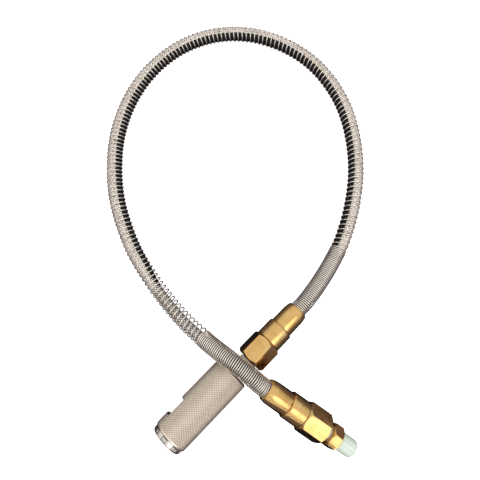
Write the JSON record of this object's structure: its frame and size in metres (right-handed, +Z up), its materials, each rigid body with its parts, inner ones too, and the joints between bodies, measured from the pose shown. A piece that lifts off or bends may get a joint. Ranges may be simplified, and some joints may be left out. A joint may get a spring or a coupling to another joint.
{
  "type": "refuelling hose with quick-connect filling nozzle",
  "caption": "Short armoured high-pressure filling hose in a loop, with a knurled quick-connect filling nozzle at one end and a capped brass hex fitting at the other.",
  "frame": {"origin": "on the floor, under the middle of the nozzle and its brass fitting (crimp ferrule to nose ring, nut and sleeve)", "axes": "+X along the nozzle's axis, out of its mouth; +Z up; the far fitting lies towards +Y"},
  "size_m": [0.3414, 0.3755, 0.0425],
  "materials": {
    "brass": "turned, bright, lightly tarnished",
    "nickel_plate": "nickel-plated, warm, diamond knurled",
    "hard_steel": "ground",
    "spring_steel": "drawn wire, dull shine",
    "steel_braid": "woven stainless wire",
    "rubber": "smooth, slightly oiled",
    "seal_washer": "matt polymer",
    "thread_tape": "soft white tape",
    "cap_plastic": "translucent moulded plastic"
  },
  "bodies": {
    "nozzle": {"nozzle_ferrule": "brass", "nozzle_hose_tail": "brass", "nozzle_thrust_washer": "hard_steel", "nozzle_seal_washer": "seal_washer", "neck_adapter": "brass", "neck_tape": "thread_tape", "neck_o_ring": "rubber", "nozzle_body": "nickel_plate", "stop_ring": "spring_steel", "sleeve_spring": "spring_steel", "nose_ring": "nickel_plate", "plug_o_ring": "rubber", "valve_seat": "brass", "seat_retainer": "hard_steel", "poppet_guide": "brass", "poppet_spring": "spring_steel", "hose": "steel_braid", "guard_spring": "spring_steel", "far_ferrule": "brass", "far_hose_tail": "brass", "far_thrust_washer": "hard_steel", "far_seal_washer": "seal_washer", "far_adapter": "brass", "far_tape": "thread_tape"},
    "sleeve": {"knurled_sleeve": "nickel_plate"},
    "segment_1": {"lock_segment_1": "hard_steel"},
    "segment_2": {"lock_segment_2": "hard_steel"},
    "segment_3": {"lock_segment_3": "hard_steel"},
    "segment_4": {"lock_segment_4": "hard_steel"},
    "segment_5": {"lock_segment_5": "hard_steel"},
    "segment_6": {"lock_segment_6": "hard_steel"},
    "segment_7": {"lock_segment_7": "hard_steel"},
    "segment_8": {"lock_segment_8": "hard_steel"},
    "valve": {"poppet": "hard_steel", "poppet_seal": "rubber"},
    "nozzle_nut": {"nozzle_hex_nut": "brass"},
    "far_nut": {"far_hex_nut": "brass"},
    "cap": {"far_cap": "cap_plastic"}
  },
  "joints": [
    {"name": "sleeve_slide", "type": "slide", "parent": "nozzle", "child": "sleeve", "axis": [1, 0, 0], "range_m": [0, 0.0042], "deforming": ["sleeve_spring"]},
    {"name": "segment_1_slide", "type": "slide", "parent": "nozzle", "child": "segment_1", "axis": [0, 0.1392, -0.9903], "range_m": [0, 0.0012]},
    {"name": "segment_2_slide", "type": "slide", "parent": "nozzle", "child": "segment_2", "axis": [0, 0.7986, -0.6018], "range_m": [0, 0.0012]},
    {"name": "segment_3_slide", "type": "slide", "parent": "nozzle", "child": "segment_3", "axis": [0, 0.9903, 0.1392], "range_m": [0, 0.0012]},
    {"name": "segment_4_slide", "type": "slide", "parent": "nozzle", "child": "segment_4", "axis": [0, 0.6018, 0.7986], "range_m": [0, 0.0012]},
    {"name": "segment_5_slide", "type": "slide", "parent": "nozzle", "child": "segment_5", "axis": [0, -0.1392, 0.9903], "range_m": [0, 0.0012]},
    {"name": "segment_6_slide", "type": "slide", "parent": "nozzle", "child": "segment_6", "axis": [0, -0.7986, 0.6018], "range_m": [0, 0.0012]},
    {"name": "segment_7_slide", "type": "slide", "parent": "nozzle", "child": "segment_7", "axis": [0, -0.9903, -0.1392], "range_m": [0, 0.0012]},
    {"name": "segment_8_slide", "type": "slide", "parent": "nozzle", "child": "segment_8", "axis": [0, -0.6018, -0.7986], "range_m": [0, 0.0012]},
    {"name": "poppet_slide", "type": "slide", "parent": "nozzle", "child": "valve", "axis": [-1, 0, 0], "range_m": [0, 0.0025], "stiffness_N_per_m": 400, "springref_m": -0.004, "deforming": ["poppet_spring"]},
    {"name": "nozzle_nut_spin", "type": "hinge", "parent": "nozzle", "child": "nozzle_nut", "pos_m": [-0.0268, 0.00284, 0.0152], "axis": [1, 0, 0], "continuous": true},
    {"name": "far_nut_spin", "type": "hinge", "parent": "nozzle", "child": "far_nut", "pos_m": [-0.01728, 0.06885, 0.01867], "axis": [-0.1751, 0.9457, -0.274], "continuous": true},
    {"name": "cap_pull", "type": "slide", "parent": "nozzle", "child": "cap", "axis": [-0.1751, 0.9457, -0.274], "range_m": [0, 0.009]}
  ],
  "couplings": [
    {"joint": "segment_1_slide", "follows": "sleeve_slide", "ratio": 0.28571},
    {"joint": "segment_2_slide", "follows": "sleeve_slide", "ratio": 0.28571},
    {"joint": "segment_3_slide", "follows": "sleeve_slide", "ratio": 0.28571},
    {"joint": "segment_4_slide", "follows": "sleeve_slide", "ratio": 0.28571},
    {"joint": "segment_5_slide", "follows": "sleeve_slide", "ratio": 0.28571},
    {"joint": "segment_6_slide", "follows": "sleeve_slide", "ratio": 0.28571},
    {"joint": "segment_7_slide", "follows": "sleeve_slide", "ratio": 0.28571},
    {"joint": "segment_8_slide", "follows": "sleeve_slide", "ratio": 0.28571}
  ]
}
